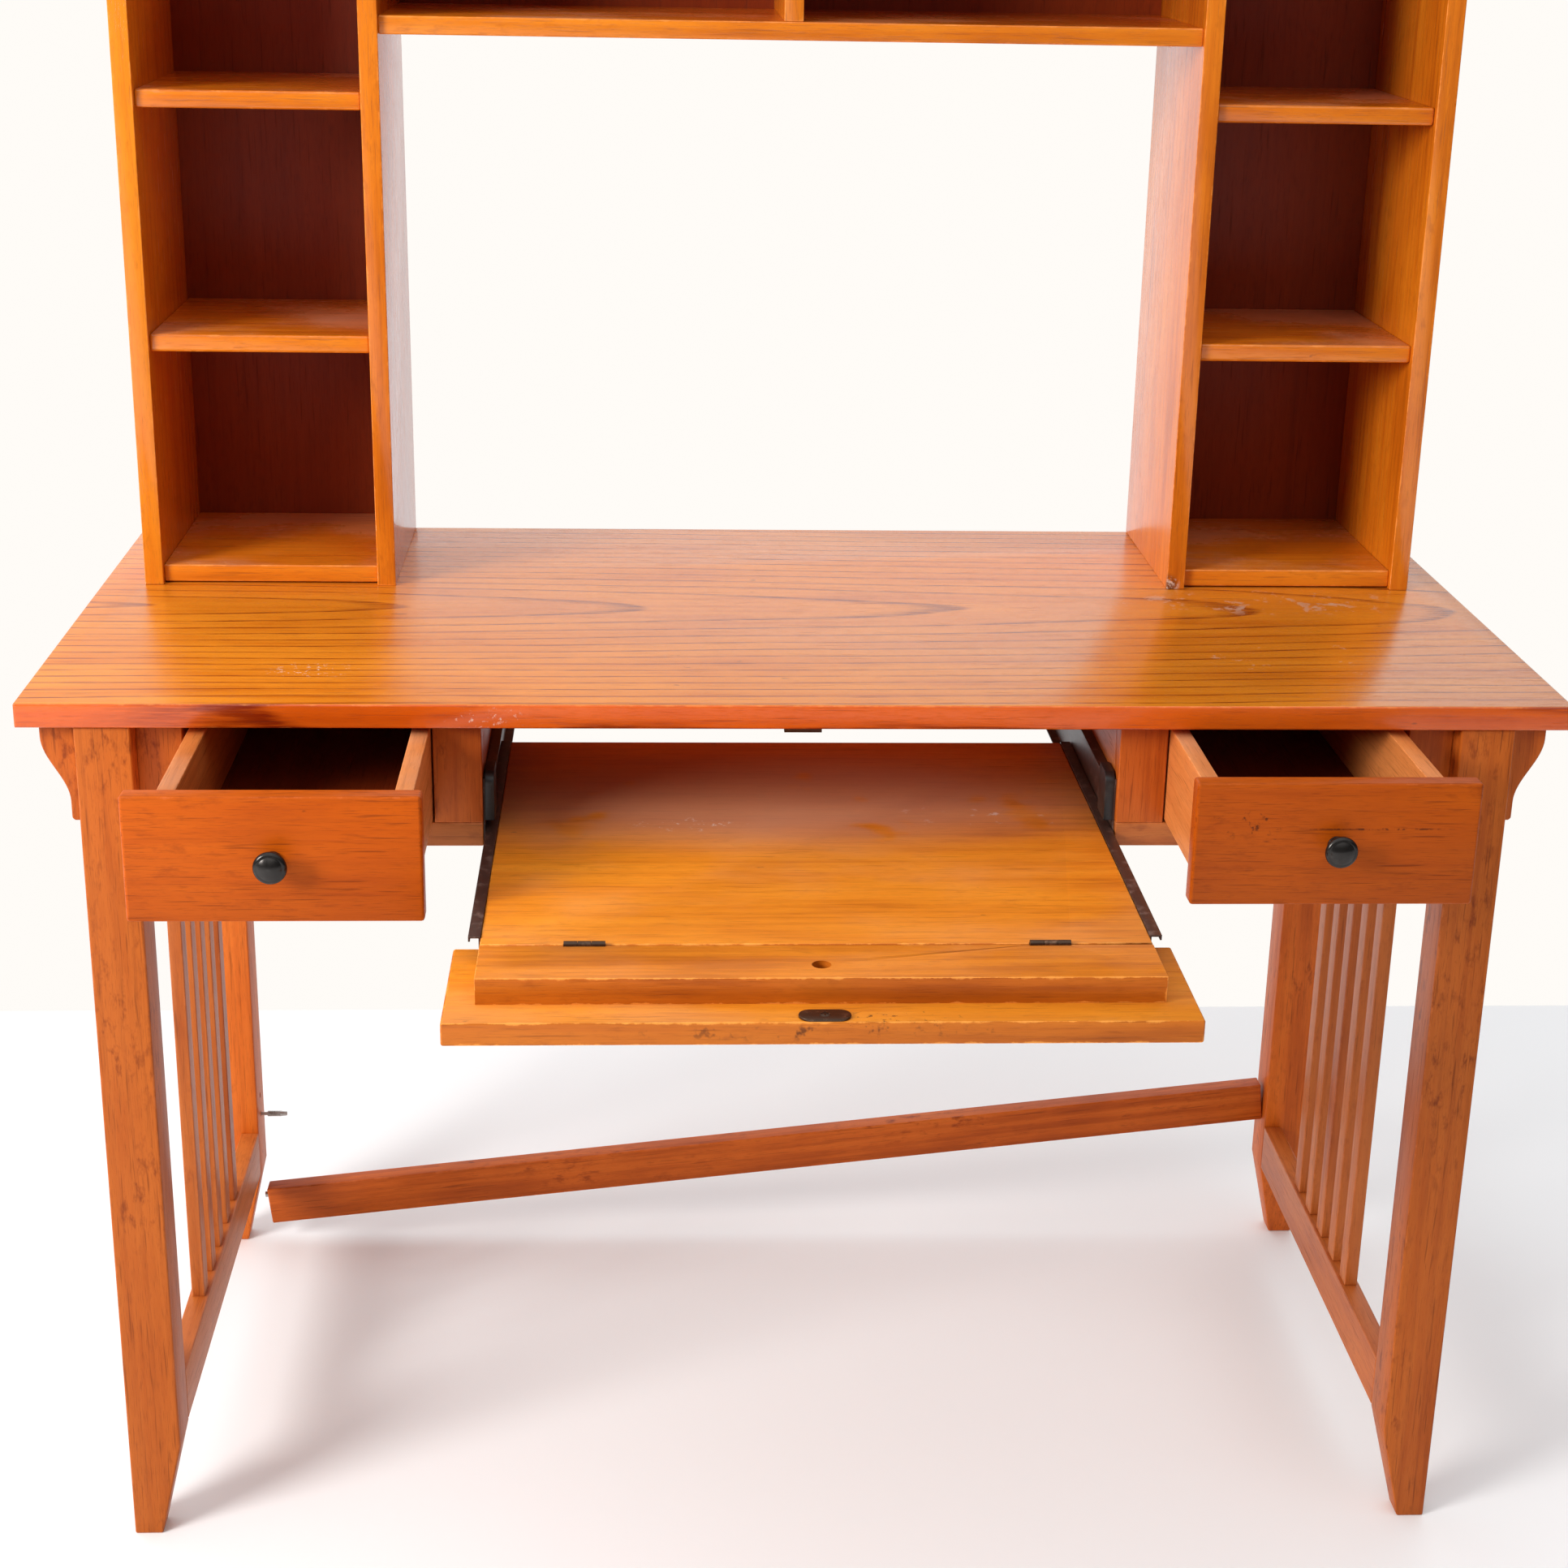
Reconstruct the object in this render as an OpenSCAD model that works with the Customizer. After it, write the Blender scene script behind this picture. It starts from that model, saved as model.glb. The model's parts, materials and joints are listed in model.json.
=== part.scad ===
// Mission-style oak writing desk with a two-tower hutch, two drawers and a pull-out keyboard tray.
// Millimetres. +Z up, the sitter faces +Y. The origin is on the floor, under the middle of the
// footprint that the desk has as it stands here: drawers part open, tray out, its front folded down.

/* [Desktop] */
// Width of the desktop
desk_w = 1228; // [1210:2:1260]
// Depth of the desktop
desk_d = 568; // [560:2:600]
// Height of the desktop's upper face
desk_h = 762; // [755:1:775]
// Thickness of the desktop
top_t = 20; // [18:1:22]

/* [Legs and side frames] */
// Side of a leg's square section
leg_w = 44; // [42:1:46]
// Side of the square foot that each leg tapers to
foot_w = 24; // [20:1:30]
// Height of the tapered length
taper_h = 88; // [60:1:88]
// From the desktop's side edge to a leg's outer face
leg_inset_side = 44; // [38:1:46]
// From the desktop's front edge to a front leg's face
leg_inset_front = 4; // [2:1:8]
// From the desktop's back edge to a back leg's face
leg_inset_back = 29; // [20:1:30]
// Thickness of the side rails
side_rail_t = 18; // [16:1:20]
// Height of the lower side rail
low_rail_h = 48; // [40:1:52]
// Height of the upper side rail
high_rail_h = 95; // [80:1:95]
// Number of slats in each side frame
slat_n = 5; // [3:1:7]
// Distance from one slat to the next
slat_pitch = 45; // [35:1:48]
// Width of a slat, along the side frame
slat_w = 20; // [14:1:24]
// Thickness of a slat
slat_t = 12; // [8:1:14]
// Width of a corbel where it meets the desktop
corbel_w = 29; // [24:1:34]
// Width of a corbel at its lower end
corbel_low_w = 8.5; // [6:0.5:12]
// Height of a corbel
corbel_h = 82; // [70:1:90]
// Thickness of a corbel
corbel_t = 20; // [16:1:24]

/* [Stretcher] */
// Height of the stretcher's section
stretcher_h = 40; // [36:1:46]
// Thickness of the stretcher
stretcher_t = 20; // [16:1:22]
// Angle by which the stretcher's loose left end hangs down
stretcher_droop = 6.3; // [0:0.1:6.5]

/* [Drawers] */
// Half of the clear width between the two inner posts
knee_half = 255.5; // [250:0.5:256]
// Width of an inner post
post_w = 38.5; // [34:0.5:40]
// Thickness of the posts and of the rails under them, front to back
post_t = 20; // [18:1:22]
// Clear width of a drawer's bay
bay_w = 196; // [180:1:196]
// From the desktop's front edge to the face of the posts
post_inset = 24; // [24:1:26]
// Height of the rail under each drawer
rail_h = 20; // [16:1:22]
// Width of a drawer front
front_w = 218; // [200:1:218]
// Height of a drawer front
front_h = 98; // [90:1:98]
// Thickness of the drawer fronts and of the tray's front
front_t = 17; // [15:1:17]
// Width of a drawer box
box_w = 188; // [176:1:192]
// Depth of a drawer box behind its front
box_d = 420; // [300:10:430]
// Height of a drawer box
box_h = 79; // [70:1:80]
// Thickness of the drawer sides and backs
box_t = 14; // [10:1:15]
// Thickness of a drawer bottom
bottom_t = 4; // [3:1:6]
// How far the left drawer stands open
left_out = 158; // [0:1:300]
// How far the right drawer stands open
right_out = 128; // [0:1:300]

/* [Keyboard tray] */
// Half of the tray's width
tray_half = 244.5; // [238:0.5:244.5]
// Depth of the tray board, front to back
tray_d = 455; // [400:5:455]
// Height of the tray's upper face
tray_z = 647; // [646:0.5:648]
// Thickness of the batten that stands on the folded tray front
batten_t = 20; // [18:1:20]
// Width of the batten, front to back
batten_w = 58; // [50:1:60]
// Half of the width of the tray's folding front
flap_half = 266.5; // [258:0.5:268]
// How far the folding front reaches beyond its hinge
flap_reach = 90; // [84:1:90]
// How far the folding front reaches behind its hinge, under the tray
flap_tail = 40; // [30:1:40]
// How far the tray is pulled out
tray_out = 250.5; // [0:0.5:300]
// Length of a hinge
hinge_l = 30; // [24:1:40]
// From the middle of the tray to the middle of a hinge
hinge_x = 169; // [120:1:200]
// Distance from the hinge line to the tray front's knob
flap_knob_y = 36; // [30:1:45]

/* [Hutch] */
// Half of the hutch's width over its outer sides
hutch_half = 575.5; // [560:0.5:580]
// Half of the clear width between the towers
bridge_half = 351.5; // [340:0.5:360]
// Depth of the hutch's sides
hutch_d = 216; // [200:1:230]
// Thickness of the hutch's sides and middle divider
panel_t = 16.5; // [15:0.5:19]
// Thickness of the hutch's shelves
shelf_t = 15.5; // [14:0.5:18]
// Rise from one tower shelf to the next
shelf_pitch = 207.5; // [190:0.5:230]
// Gap under each tower's lowest shelf
base_gap = 1.5; // [0.5:0.5:4]
// Height of the middle shelf's underside above the desktop
bridge_z = 479.5; // [440:0.5:500]
// How far the shelves stand back from the sides' front edges
shelf_setback = 6; // [2:1:12]
// Thickness of the hutch's top board
crown_t = 19; // [16:1:25]
// Overhang of the top board at the front and sides
crown_over = 14; // [0:1:25]
// Thickness of the back panels
back_t = 5; // [3:1:6]

/* [Knobs] */
// Radius of a knob's head
knob_r = 12.5; // [10:0.5:16]
// How far a knob stands out
knob_l = 22; // [18:1:28]

/* [Hidden] */
$fn = 48;

LEFT = -1;
RIGHT = 1;
LAP = 0.3;                // clearance between pieces that move past each other
OVERCUT = 1;              // how far a cutter stands out of what it cuts

// Hinge: the barrel lies in a recess at the level of the tray's face, and the two leaves fill the gap
// between the boards.
knuckle_r = 2.5;
knuckle_l = hinge_l / 3;
pin_r = 1.4;
leaf_t = 1.2;
leaf_h = 17.6;            // from the tray's face down to a leaf's lower edge
hinge_gap = 2 * leaf_t + 2 * LAP / 3;
pivot_up = 0.6;           // height of the pin's axis above the tray's face
pivot_z = tray_z + pivot_up;
hinge_starts = [-hinge_x - hinge_l / 2, hinge_x - hinge_l / 2];
flap_top = tray_z - batten_t;
tray_t = batten_t - LAP;

// Places along Y. The flap stands just clear of the posts when it is shut.
hinge_shut = post_inset - LAP + pivot_up + batten_t;
front_reach = tray_out + flap_reach - hinge_shut;
y0 = (front_reach - desk_d) / 2;          // the desktop's front edge
hinge_y = y0 + hinge_shut - tray_out;
tray_front = hinge_y + hinge_gap / 2;
tray_back = tray_front + tray_d;
front_leg_y = y0 + leg_inset_front;
back_leg_y = y0 + desk_d - leg_inset_back - leg_w;
leg_mid_y = back_leg_y + leg_w / 2;
post_y = y0 + post_inset;
apron_y = leg_mid_y - stretcher_t / 2;
hutch_inset = 2;          // from the desktop's back edge to the hutch's back
back_rebate = 6;          // depth behind the back panels
hutch_back_y = y0 + desk_d - hutch_inset;
hutch_y = hutch_back_y - hutch_d;
back_panel_y = hutch_back_y - back_rebate - back_t;

// Places along X, for the right-hand side.
leg_out = desk_w / 2 - leg_inset_side;
leg_in = leg_out - leg_w;
post_out = knee_half + post_w;
bay_out = post_out + bay_w;
divider_t = 16.5;
box_in = post_out + 1.5;                  // a drawer box's side nearer the knees
box_out = box_in + box_w;
front_mid = post_out + bay_w / 2 + 5;     // the fronts lap further over the outer posts

// Heights.
under = desk_h - top_t;
bay_h = 87;               // clear height of a drawer's bay
front_gap = 1.5;          // between a drawer front and the desktop
rail_top = under - bay_h;
rail_z = rail_top - rail_h;
low_rail_top = taper_h + low_rail_h;
high_rail_z = under - high_rail_h;
front_z = under - front_gap - front_h;
box_z = rail_top + 2;
groove = 5;               // depth of the grooves that hold a drawer bottom
bottom_z = box_z + 7;
back_drop = 3;            // a drawer's back is this much lower than its sides
cubby_n = 3;              // each shelf has a node of its own, so this is fixed
crown_z = desk_h + base_gap + cubby_n * shelf_pitch;
bridge_top = desk_h + bridge_z + shelf_t;
divider_setback = 2;      // of the hutch's divider behind the front of the middle shelf

// Tray slides: folded steel, with a nylon roller at the front of each fixed channel and at the
// back of each moving member, and a nylon stop above each front roller.
steel_t = 1.4;
slide_w = 9;
slide_lip = 4;
slide_top = tray_z + 1;
slide_setback = 12;       // from the tray's front edge to the front of the slides
channel_w = 9;
channel_z = tray_z - 19;
channel_top = tray_z + 43;
channel_y = post_y + 6;
channel_back = apron_y - 5;
stop_w = channel_w - steel_t;
stop_d = 30;
stop_z = tray_z + 8;
stop_h = 40;
stop_round = 9;
roller_r = 8;
roller_w = 5;
roller_x = tray_half + steel_t + 0.7;
roller_inset = roller_r + 2;              // from the end of its channel to a roller's axis
axle_r = 2;
axle_out = 0.5;           // length of axle that shows at each side of a roller

// Stretcher and its fasteners.
stretcher_z = low_rail_top + 3;
stretcher_l = 2 * leg_in - 1.2;
bolt_r = 3;
bolt_head_r = 6;
bolt_head_t = 4;
bolt_loose = 27;          // length of bolt that stands out of the left leg
bolt_held = 10;           // length of bolt that is in the stretcher's right end
bolt_up = 8.5;            // a bolt's height above the stretcher's lower face
bolt_z = stretcher_z + bolt_up;
bolt_bore_r = bolt_r + 1.5;
bolt_bore_l = 40;
dowel_r = 3;
dowel_up = 30;            // dowel's height above the stretcher's lower face
dowel_out = 4;
dowel_in = 18;
dowel_hole = 12;          // depth of its empty hole in the left leg

screw_r = 2;
screw_head_r = 4.5;
screw_head_t = 2.5;
screw_bite = 25;          // length of a hutch screw above the desktop
screw_ys = [hutch_y + 35, hutch_y + 125];

// Magnetic catch and its plate.
catch_half = 15;
catch_d = 18;
catch_h = 11;
catch_gap = 0.5;          // between the catch and the plate when the tray's front is shut
plate_l = 37;
plate_w = 17;
plate_t = 2;
plate_y = hinge_y - 81;

// Knob: a flat foot, a neck and a domed head with a rounded rim.
knob_foot_r = 7;
knob_foot_t = 2;
knob_neck_r = 5;
knob_head_t = 7;
knob_dome_r = 17;
knob_rim_r = 3;
access_r = 7;             // hole in the batten over the screw of the tray front's knob

// Corbel outline: straight at the top, then one S-curve down to a small square end.
corbel_top = 12;
corbel_tail = 16;
corbel_chamfer = 2;
corbel_curve = [for (i = [0:16])
    let (t = i / 16)
    [corbel_low_w + (corbel_w - corbel_low_w) * (1 + cos(180 * t)) / 2,
     -corbel_top - t * (corbel_h - corbel_top - corbel_tail)]];

// ---- Shared shapes ----

module board(from, to) translate(from) cube(to - from);

// Draws its children as they are on the right, and mirrored on the left.
module on_side(side) {
    if (side == LEFT) mirror([1, 0, 0]) children();
    else children();
}

module both_sides() {
    for (side = [LEFT, RIGHT]) on_side(side) children();
}

// A round bar from a point, along +X, -Y or +Z.
module bar_x(from, r, l) translate(from) rotate([0, 90, 0]) cylinder(r = r, h = l);
module bar_front(from, r, l) translate(from) rotate([90, 0, 0]) cylinder(r = r, h = l);
module bar_z(from, r, l) translate(from) cylinder(r = r, h = l);

// ---- Desk frame ----

module desktop() {
    color("chocolate") difference() {
        board([-desk_w / 2, y0, under], [desk_w / 2, y0 + desk_d, desk_h]);
        hutch_screw_holes();
    }
}

// A right-hand front leg: its two inward faces taper to the foot.
module leg_blank() {
    inner = leg_w - foot_w;
    intersection() {
        rotate([90, 0, 0]) translate([0, 0, -leg_w]) linear_extrude(leg_w)
            polygon([[inner, 0], [leg_w, 0], [leg_w, under], [0, under], [0, taper_h]]);
        rotate([90, 0, 90]) linear_extrude(leg_w)
            polygon([[0, 0], [foot_w, 0], [leg_w, taper_h], [leg_w, under], [0, under]]);
    }
}

module front_leg(side) {
    color("sienna") on_side(side) translate([leg_in, front_leg_y, 0]) leg_blank();
}

module back_leg(side) {
    color("sienna") difference() {
        on_side(side) translate([leg_in, back_leg_y + leg_w, 0]) mirror([0, 1, 0]) leg_blank();
        on_side(side) bar_x([leg_in - OVERCUT, leg_mid_y, bolt_z], bolt_r, leg_w + 2 * OVERCUT);
        if (side == LEFT) on_side(side) bar_x([leg_in - OVERCUT, leg_mid_y, stretcher_z + dowel_up],
            dowel_r, dowel_hole + OVERCUT);
    }
}

module leg_front_left() front_leg(LEFT);
module leg_front_right() front_leg(RIGHT);
module leg_back_left() back_leg(LEFT);
module leg_back_right() back_leg(RIGHT);

module side_rail(side, z, h) {
    color("peru") on_side(side)
        board([leg_in, front_leg_y + leg_w, z], [leg_in + side_rail_t, back_leg_y, z + h]);
}

module side_top_rails() {
    side_rail(LEFT, high_rail_z, high_rail_h);
    side_rail(RIGHT, high_rail_z, high_rail_h);
}

module side_bottom_rail_left() side_rail(LEFT, taper_h, low_rail_h);
module side_bottom_rail_right() side_rail(RIGHT, taper_h, low_rail_h);

module side_slats(side) {
    middle = (front_leg_y + leg_w + back_leg_y) / 2;
    inner = leg_in + (side_rail_t - slat_t) / 2;
    color("sandybrown") on_side(side) for (i = [0:slat_n - 1]) {
        y = middle + (i - (slat_n - 1) / 2) * slat_pitch - slat_w / 2;
        board([inner, y, low_rail_top], [inner + slat_t, y + slat_w, high_rail_z]);
    }
}

module side_slats_left() side_slats(LEFT);
module side_slats_right() side_slats(RIGHT);

module corbel(y) {
    translate([leg_out, y + corbel_t / 2, under]) rotate([90, 0, 0]) linear_extrude(corbel_t)
        polygon(concat([[0, 0], [corbel_w, 0]], corbel_curve,
            [[corbel_low_w, corbel_chamfer - corbel_h], [corbel_low_w - corbel_chamfer, -corbel_h],
            [0, -corbel_h]]));
}

module corbels() {
    color("peru") both_sides() {
        corbel(front_leg_y + leg_w / 2);
        corbel(leg_mid_y);
    }
}

module back_apron() {
    color("peru") board([-leg_in, apron_y, rail_z], [leg_in, apron_y + stretcher_t, under]);
}

module drawer_posts() {
    color("sienna") both_sides() {
        board([knee_half, post_y, rail_top], [post_out, post_y + post_t, under]);
        board([bay_out, post_y, rail_top], [leg_in, post_y + post_t, under]);
    }
}

module drawer_rails() {
    color("saddlebrown") both_sides()
        board([knee_half, post_y, rail_z], [leg_in, post_y + post_t, rail_top]);
}

module divider_panel(side) {
    color("peru") on_side(side)
        board([knee_half, post_y + post_t, rail_z], [knee_half + divider_t, apron_y, under]);
}

module divider_panel_left() divider_panel(LEFT);
module divider_panel_right() divider_panel(RIGHT);

// Ledges that carry the drawer sides, inside and outside each bay.
module drawer_runners() {
    overlap = box_t - 2;
    top = box_z - LAP;
    color("burlywood") both_sides() {
        board([knee_half + divider_t, post_y + post_t, rail_z], [box_in + overlap, apron_y, top]);
        board([box_out - overlap, front_leg_y + leg_w, rail_z], [leg_in, back_leg_y, top]);
    }
}

module magnetic_catch() {
    from = hinge_y + tray_out - pivot_up - batten_t + plate_t + catch_gap;
    color("dimgray")
        board([-catch_half, from, under - catch_h], [catch_half, from + catch_d, under]);
}

// ---- Tray slides ----

// A channel on the inner face of each divider, open towards the tray.
module tray_channels() {
    outer = knee_half;
    inner = outer - channel_w;
    color("saddlebrown") both_sides() {
        board([outer - steel_t, channel_y, channel_z], [outer, channel_back, channel_top]);
        board([inner, channel_y, channel_z], [outer, channel_back, channel_z + steel_t]);
        board([inner, channel_y + stop_d + LAP, channel_top - steel_t],
            [outer, channel_back, channel_top]);
    }
}

// A moulded stop inside the front of each channel, with its upper front corner rounded.
module slide_stops() {
    color("black") both_sides() translate([knee_half - channel_w, channel_y, stop_z])
        rotate([90, 0, 90]) linear_extrude(stop_w) hull() {
            square([stop_d, stop_h - stop_round]);
            translate([stop_round, stop_h - stop_round]) circle(r = stop_round);
            translate([stop_round, 0]) square([stop_d - stop_round, stop_h]);
        }
}

module roller(y, z) {
    bar_x([roller_x, y, z], roller_r, roller_w);
    bar_x([roller_x - axle_out, y, z], axle_r, roller_w + 2 * axle_out);
}

module channel_rollers() {
    color("ivory") both_sides()
        roller(channel_y + roller_inset, slide_top - steel_t - LAP - roller_r);
}

module tray_slides() {
    from = tray_front + slide_setback;
    outer = tray_half + slide_w;
    color("saddlebrown") both_sides() {
        board([tray_half, from, channel_z + LAP], [tray_half + steel_t, tray_back, slide_top]);
        board([tray_half, from, slide_top - steel_t], [outer, tray_back, slide_top]);
        board([outer - steel_t, from, slide_top - slide_lip], [outer, tray_back, slide_top]);
    }
}

module slide_rollers() {
    color("ivory") both_sides()
        roller(tray_back - roller_inset, channel_z + steel_t + LAP + roller_r);
}

// ---- Stretcher between the back legs ----

// Places its children in the stretcher's own frame: the origin is the lower edge of its right end,
// where it bears on the leg, and the bar runs along -X.
module stretcher_frame() {
    translate([leg_in, leg_mid_y, stretcher_z]) rotate([0, -stretcher_droop, 0]) children();
}

module stretcher() {
    color("sienna") stretcher_frame() difference() {
        board([-stretcher_l, -stretcher_t / 2, 0], [0, stretcher_t / 2, stretcher_h]);
        for (x = [-stretcher_l - OVERCUT, -bolt_bore_l])
            bar_x([x, 0, bolt_up], bolt_bore_r, bolt_bore_l + OVERCUT);
        bar_x([-stretcher_l - OVERCUT, 0, dowel_up], dowel_r, dowel_in + OVERCUT);
    }
}

module stretcher_dowel() {
    color("dimgray") stretcher_frame()
        bar_x([-stretcher_l - dowel_out, 0, dowel_up], dowel_r, dowel_out + dowel_in);
}

// The left bolt stands out of its leg, out of the stretcher; the right one still holds.
module stretcher_bolts() {
    color("black") {
        on_side(LEFT) bolt(bolt_loose);
        on_side(RIGHT) bolt(bolt_held);
    }
}

module bolt(out) {
    bar_x([leg_in - out, leg_mid_y, bolt_z], bolt_r, out + leg_w);
    bar_x([leg_out, leg_mid_y, bolt_z], bolt_head_r, bolt_head_t);
}

// ---- Hutch ----

module hutch_screw_holes() {
    both_sides() for (x = [hutch_half, bridge_half + panel_t], y = screw_ys)
        bar_z([x - panel_t / 2, y, under - OVERCUT], screw_r, top_t + screw_bite + OVERCUT);
}

module hutch_screws() {
    color("silver") both_sides() for (x = [hutch_half, bridge_half + panel_t], y = screw_ys) {
        bar_z([x - panel_t / 2, y, under], screw_r, top_t + screw_bite);
        bar_z([x - panel_t / 2, y, under - screw_head_t], screw_head_r, screw_head_t);
    }
}

// An upright side of a tower; x is its outer face.
module hutch_side(side, x) {
    color("darkorange") difference() {
        on_side(side) board([x - panel_t, hutch_y, desk_h], [x, hutch_back_y, crown_z]);
        hutch_screw_holes();
    }
}

module hutch_outer_side_left() hutch_side(LEFT, hutch_half);
module hutch_outer_side_right() hutch_side(RIGHT, hutch_half);
module hutch_inner_side_left() hutch_side(LEFT, bridge_half + panel_t);
module hutch_inner_side_right() hutch_side(RIGHT, bridge_half + panel_t);

// A shelf in a tower; row 0 is the lowest.
module tower_shelf(side, row) {
    z = desk_h + base_gap + row * shelf_pitch;
    color("orange") on_side(side) board([bridge_half + panel_t, hutch_y + shelf_setback, z],
        [hutch_half - panel_t, back_panel_y, z + shelf_t]);
}

module hutch_base_left() tower_shelf(LEFT, 0);
module hutch_base_right() tower_shelf(RIGHT, 0);
module hutch_lower_shelf_left() tower_shelf(LEFT, 1);
module hutch_lower_shelf_right() tower_shelf(RIGHT, 1);
module hutch_upper_shelf_left() tower_shelf(LEFT, 2);
module hutch_upper_shelf_right() tower_shelf(RIGHT, 2);

module hutch_middle_shelf() {
    color("orange") board([-bridge_half, hutch_y + shelf_setback, desk_h + bridge_z],
        [bridge_half, back_panel_y, bridge_top]);
}

module hutch_middle_divider() {
    color("darkorange") board([-panel_t / 2, hutch_y + shelf_setback + divider_setback, bridge_top],
        [panel_t / 2, back_panel_y, crown_z]);
}

module hutch_top() {
    half = hutch_half + crown_over;
    color("chocolate")
        board([-half, hutch_y - crown_over, crown_z], [half, hutch_back_y, crown_z + crown_t]);
}

module hutch_back(from_x, to_x, z) {
    board([from_x, back_panel_y, z], [to_x, back_panel_y + back_t, crown_z]);
}

module hutch_tower_backs() {
    color("saddlebrown") both_sides()
        hutch_back(bridge_half + panel_t, hutch_half - panel_t, desk_h + base_gap);
}

module hutch_middle_back() {
    color("saddlebrown") hutch_back(-bridge_half, bridge_half, desk_h + bridge_z);
}

// ---- Tray and its folding front ----

// The recesses that the hinges' barrels lie in.
module hinge_recesses() {
    for (x = hinge_starts)
        bar_x([x - LAP, hinge_y, pivot_z], knuckle_r + LAP, hinge_l + 2 * LAP);
}

module tray_board() {
    color("goldenrod") difference() {
        board([-tray_half, tray_front, tray_z - tray_t], [tray_half, tray_back, tray_z]);
        hinge_recesses();
    }
}

// One leaf of a hinge, behind the pin. Its knuckles are the stretches in spans.
module hinge_leaf(x, spans) {
    top = -knuckle_r - LAP;
    translate([x, hinge_y, pivot_z]) difference() {
        union() {
            board([0, LAP / 3, -pivot_up - leaf_h], [hinge_l, LAP / 3 + leaf_t, top]);
            for (span = spans) {
                board([span[0], LAP / 3, top], [span[1], LAP / 3 + leaf_t, 0]);
                bar_x([span[0], 0, 0], knuckle_r, span[1] - span[0]);
            }
        }
        bar_x([-OVERCUT, 0, 0], pin_r, hinge_l + 2 * OVERCUT);
    }
}

module tray_hinge_leaves() {
    color("dimgray") for (x = hinge_starts)
        hinge_leaf(x, [[0, knuckle_l - LAP / 2], [2 * knuckle_l + LAP / 2, hinge_l]]);
}

module flap_hinge_leaves() {
    color("dimgray") for (x = hinge_starts)
        translate([0, 2 * hinge_y, 0]) mirror([0, 1, 0])
            hinge_leaf(x, [[knuckle_l + LAP / 2, 2 * knuckle_l - LAP / 2]]);
}

// The pins turn with the flap, so they are a little thinner than the bores.
module hinge_pins() {
    color("gray") for (x = hinge_starts)
        bar_x([x, hinge_y, pivot_z], pin_r - 0.05, hinge_l);
}

module flap_panel() {
    color("goldenrod") difference() {
        board([-flap_half, hinge_y - flap_reach, flap_top - front_t],
            [flap_half, hinge_y + flap_tail, flap_top]);
        bar_z([0, hinge_y - flap_knob_y, flap_top - front_t - OVERCUT], screw_r,
            front_t + 2 * OVERCUT);
    }
}

module flap_batten() {
    from = hinge_y - hinge_gap / 2 - batten_w;
    color("orange") difference() {
        board([-tray_half, from, flap_top], [tray_half, from + batten_w, tray_z]);
        bar_z([0, hinge_y - flap_knob_y, flap_top - OVERCUT], access_r, batten_t + 2 * OVERCUT);
        hinge_recesses();
    }
}

module strike_plate() {
    straight = (plate_l - plate_w) / 2;
    color("dimgray") translate([0, plate_y, flap_top]) linear_extrude(plate_t) {
        square([2 * straight, plate_w], center = true);
        for (x = [-straight, straight]) translate([x, 0]) circle(d = plate_w);
    }
}

// ---- Knobs ----

// A mushroom knob on a face at z = 0, standing out along +Z, and its screw behind the face.
module knob(face_t) {
    rim_x = knob_r - knob_rim_r;
    rim_z = knob_l - knob_dome_r + sqrt(pow(knob_dome_r, 2) - pow(rim_x, 2)) - knob_rim_r;
    color("darkslategray") {
        rotate_extrude() {
            square([knob_foot_r, knob_foot_t]);
            square([knob_neck_r, knob_l - knob_head_t]);
            intersection() {
                translate([0, knob_l - knob_dome_r]) circle(r = knob_dome_r);
                translate([0, rim_z - knob_rim_r]) square([rim_x, knob_head_t + knob_rim_r]);
            }
            translate([rim_x, rim_z]) intersection() {
                circle(r = knob_rim_r);
                translate([0, -knob_rim_r]) square(2 * knob_rim_r);
            }
        }
        translate([0, 0, -face_t]) cylinder(r = screw_r, h = face_t);
        translate([0, 0, -face_t - screw_head_t]) cylinder(r = screw_head_r, h = screw_head_t);
    }
}

module flap_knob() {
    translate([0, hinge_y - flap_knob_y, flap_top - front_t]) rotate([180, 0, 0]) knob(front_t);
}

// ---- Drawers ----

// Y of the back of a drawer's front, for a drawer that is pulled out by some distance.
function drawer_y(out) = post_y - LAP - out;

module drawer_front(side, out) {
    y = drawer_y(out);
    color("chocolate") on_side(side) difference() {
        board([front_mid - front_w / 2, y - front_t, front_z],
            [front_mid + front_w / 2, y, front_z + front_h]);
        bar_front([front_mid, y + OVERCUT, front_z + front_h / 2], screw_r, front_t + 2 * OVERCUT);
    }
}

module drawer_sides(side, out) {
    y = drawer_y(out);
    color("burlywood") on_side(side) difference() {
        for (x = [box_in, box_out - box_t])
            board([x, y, box_z], [x + box_t, y + box_d, box_z + box_h]);
        drawer_bottom_board(y);
    }
}

module drawer_bottom_board(y) {
    inset = box_t - groove;
    board([box_in + inset, y, bottom_z], [box_out - inset, y + box_d, bottom_z + bottom_t]);
}

module drawer_bottom(side, out) {
    color("saddlebrown") on_side(side) drawer_bottom_board(drawer_y(out));
}

module drawer_back(side, out) {
    y = drawer_y(out) + box_d;
    color("burlywood") on_side(side) board([box_in + box_t, y - box_t, bottom_z + bottom_t],
        [box_out - box_t, y, box_z + box_h - back_drop]);
}

module drawer_knob(side, out) {
    on_side(side) translate([front_mid, drawer_y(out) - front_t, front_z + front_h / 2])
        rotate([90, 0, 0]) knob(front_t);
}

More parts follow.
